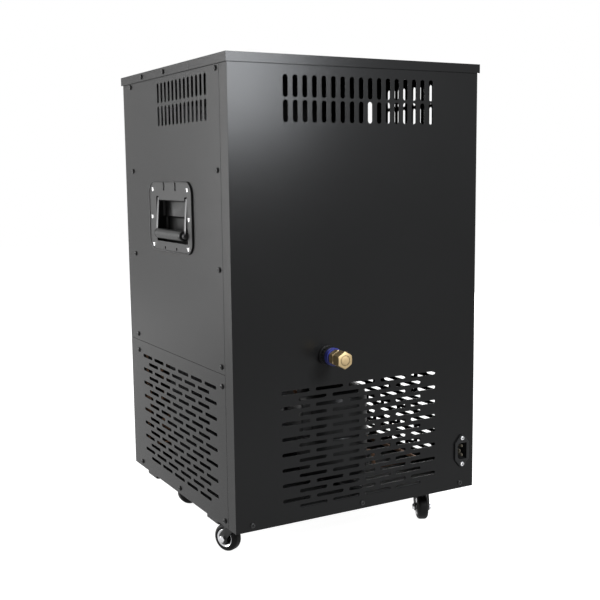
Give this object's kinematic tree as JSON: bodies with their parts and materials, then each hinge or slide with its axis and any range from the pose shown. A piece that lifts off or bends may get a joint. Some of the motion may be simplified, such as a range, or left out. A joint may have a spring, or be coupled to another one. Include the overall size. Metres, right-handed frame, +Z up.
{
  "type": "glycol chiller",
  "caption": "Tall sheet-metal glycol chiller on swivel casters with an insulated tank above a condensing unit, side grab handles, slotted vents and a rear drain.",
  "frame": {"origin": "on the floor, under the centre of the whole object's box, so the cabinet's own centre lies 22 mm in front of it because the drain stands out at the rear", "axes": "+X to the right as seen from the front (-Y side), +Y to the rear with the drain and inlet, +Z up"},
  "size_m": [0.4218, 0.442, 0.691],
  "materials": {
    "black_coat": "satin powder coat",
    "inner_coat": "matt black, inside the cabinet",
    "zinc_sheet": "galvanised",
    "caster_steel": "zinc plated",
    "black_screw": "black",
    "handle_coat": "satin black",
    "rivet_metal": "bright",
    "black_plastic": "matt",
    "blue_plastic": "gloss",
    "dark_plastic": "matt",
    "window_plastic": "smoked",
    "key_plastic": "matt",
    "rocker_plastic": "gloss",
    "pin_brass": "bright",
    "screw_chrome": "bright",
    "brass": "turned",
    "liner_steel": "satin",
    "foam": "insulation foam",
    "copper": "copper tube",
    "black_rubber": "matt",
    "compressor_paint": "gloss black",
    "fin_metal": "bright",
    "motor_paint": "grey",
    "bail_metal": "zinc plated",
    "grip_rubber": "matt",
    "fork_coat": "black",
    "wheel_rubber": "matt"
  },
  "bodies": {
    "cabinet": {"base_pan": "inner_coat", "corner_posts": "inner_coat", "caster_rails": "black_coat", "caster_plates": "caster_steel", "tank_shelf": "inner_coat", "rear_panel": "black_coat", "front_panel": "black_coat", "side_panel_upper_left": "black_coat", "side_panel_upper_right": "black_coat", "side_panel_lower_left": "black_coat", "side_panel_lower_right": "black_coat", "top_cover": "black_coat", "cabinet_screws": "black_screw", "handle_dish_left": "handle_coat", "handle_dish_right": "handle_coat", "handle_rivets": "rivet_metal", "inlet_body": "black_plastic", "inlet_pins": "pin_brass", "inlet_screws": "screw_chrome", "drain_fitting": "brass", "drain_nut": "black_plastic", "drain_ring": "blue_plastic", "tank_liner": "liner_steel", "tank_foam": "foam", "tank_cover": "dark_plastic", "evaporator_coil": "copper", "glycol_pump": "dark_plastic", "glycol_risers": "liner_steel", "hose_grommet": "black_rubber", "compressor": "compressor_paint", "compressor_feet": "black_rubber", "condenser_tubes": "copper", "condenser_fins": "fin_metal", "fan_shroud": "zinc_sheet", "fan_motor": "motor_paint", "refrigerant_lines": "copper", "control_box": "dark_plastic", "controller": "black_plastic", "display_window": "window_plastic", "switch_frame": "black_plastic"},
    "hatch": {"hatch": "black_coat"},
    "fan": {"fan_blades": "fin_metal"},
    "handle_left": {"bail_left": "bail_metal", "grip_left": "grip_rubber"},
    "handle_right": {"bail_right": "bail_metal", "grip_right": "grip_rubber"},
    "drain_plug": {"drain_plug": "brass"},
    "filler_cap": {"filler_cap": "dark_plastic"},
    "key_top": {"key_top": "key_plastic"},
    "key_middle": {"key_middle": "key_plastic"},
    "key_bottom": {"key_bottom": "key_plastic"},
    "rocker": {"rocker": "rocker_plastic"},
    "fork_front_left": {"fork_front_left": "fork_coat"},
    "wheel_front_left": {"wheel_front_left": "wheel_rubber"},
    "fork_front_right": {"fork_front_right": "fork_coat"},
    "wheel_front_right": {"wheel_front_right": "wheel_rubber"},
    "fork_rear_left": {"fork_rear_left": "fork_coat"},
    "wheel_rear_left": {"wheel_rear_left": "wheel_rubber"},
    "fork_rear_right": {"fork_rear_right": "fork_coat"},
    "wheel_rear_right": {"wheel_rear_right": "wheel_rubber"}
  },
  "joints": [
    {"name": "hatch_lift", "type": "slide", "parent": "cabinet", "child": "hatch", "axis": [0, 0, 1], "range_m": [0, 0.08]},
    {"name": "fan_spin", "type": "hinge", "parent": "cabinet", "child": "fan", "pos_m": [0, -0.166, 0.159], "axis": [0, 1, 0], "continuous": true},
    {"name": "handle_right_swing", "type": "hinge", "parent": "cabinet", "child": "handle_right", "pos_m": [0.1971, -0.0218, 0.5025], "axis": [0, -1, 0], "range_deg": [0, 85.5]},
    {"name": "handle_left_swing", "type": "hinge", "parent": "cabinet", "child": "handle_left", "pos_m": [-0.1971, -0.0218, 0.5025], "axis": [0, 1, 0], "range_deg": [0, 85.5]},
    {"name": "drain_plug_out", "type": "slide", "parent": "cabinet", "child": "drain_plug", "axis": [0, 1, 0], "range_m": [0, 0.03]},
    {"name": "filler_cap_lift", "type": "slide", "parent": "cabinet", "child": "filler_cap", "axis": [0, 0, 1], "range_m": [0, 0.05]},
    {"name": "key_top_press", "type": "slide", "parent": "cabinet", "child": "key_top", "axis": [0, 1, 0], "range_m": [0, 0.0008], "stiffness_N_per_m": 300},
    {"name": "key_middle_press", "type": "slide", "parent": "cabinet", "child": "key_middle", "axis": [0, 1, 0], "range_m": [0, 0.0008], "stiffness_N_per_m": 300},
    {"name": "key_bottom_press", "type": "slide", "parent": "cabinet", "child": "key_bottom", "axis": [0, 1, 0], "range_m": [0, 0.0008], "stiffness_N_per_m": 300},
    {"name": "rocker_tip", "type": "hinge", "parent": "cabinet", "child": "rocker", "pos_m": [0.078, -0.2128, 0.636], "axis": [-1, 0, 0], "range_deg": [0, 22]},
    {"name": "swivel_front_left", "type": "hinge", "parent": "cabinet", "child": "fork_front_left", "pos_m": [-0.158, -0.1395, 0.045], "axis": [0, 0, 1], "continuous": true},
    {"name": "roll_front_left", "type": "hinge", "parent": "fork_front_left", "child": "wheel_front_left", "pos_m": [-0.17705, -0.1285, 0.02], "axis": [-0.5, -0.866, 0], "continuous": true},
    {"name": "swivel_front_right", "type": "hinge", "parent": "cabinet", "child": "fork_front_right", "pos_m": [0.158, -0.1395, 0.045], "axis": [0, 0, 1], "continuous": true},
    {"name": "roll_front_right", "type": "hinge", "parent": "fork_front_right", "child": "wheel_front_right", "pos_m": [0.136, -0.1395, 0.02], "axis": [0, -1, 0], "continuous": true},
    {"name": "swivel_rear_left", "type": "hinge", "parent": "cabinet", "child": "fork_rear_left", "pos_m": [-0.158, 0.0955, 0.045], "axis": [0, 0, 1], "continuous": true},
    {"name": "roll_rear_left", "type": "hinge", "parent": "fork_rear_left", "child": "wheel_rear_left", "pos_m": [-0.14767, 0.11492, 0.02], "axis": [-0.8829, 0.4695, 0], "continuous": true},
    {"name": "swivel_rear_right", "type": "hinge", "parent": "cabinet", "child": "fork_rear_right", "pos_m": [0.158, 0.0955, 0.045], "axis": [0, 0, 1], "continuous": true},
    {"name": "roll_rear_right", "type": "hinge", "parent": "fork_rear_right", "child": "wheel_rear_right", "pos_m": [0.16747, 0.07564, 0.02], "axis": [0.9026, 0.4305, 0], "continuous": true}
  ]
}
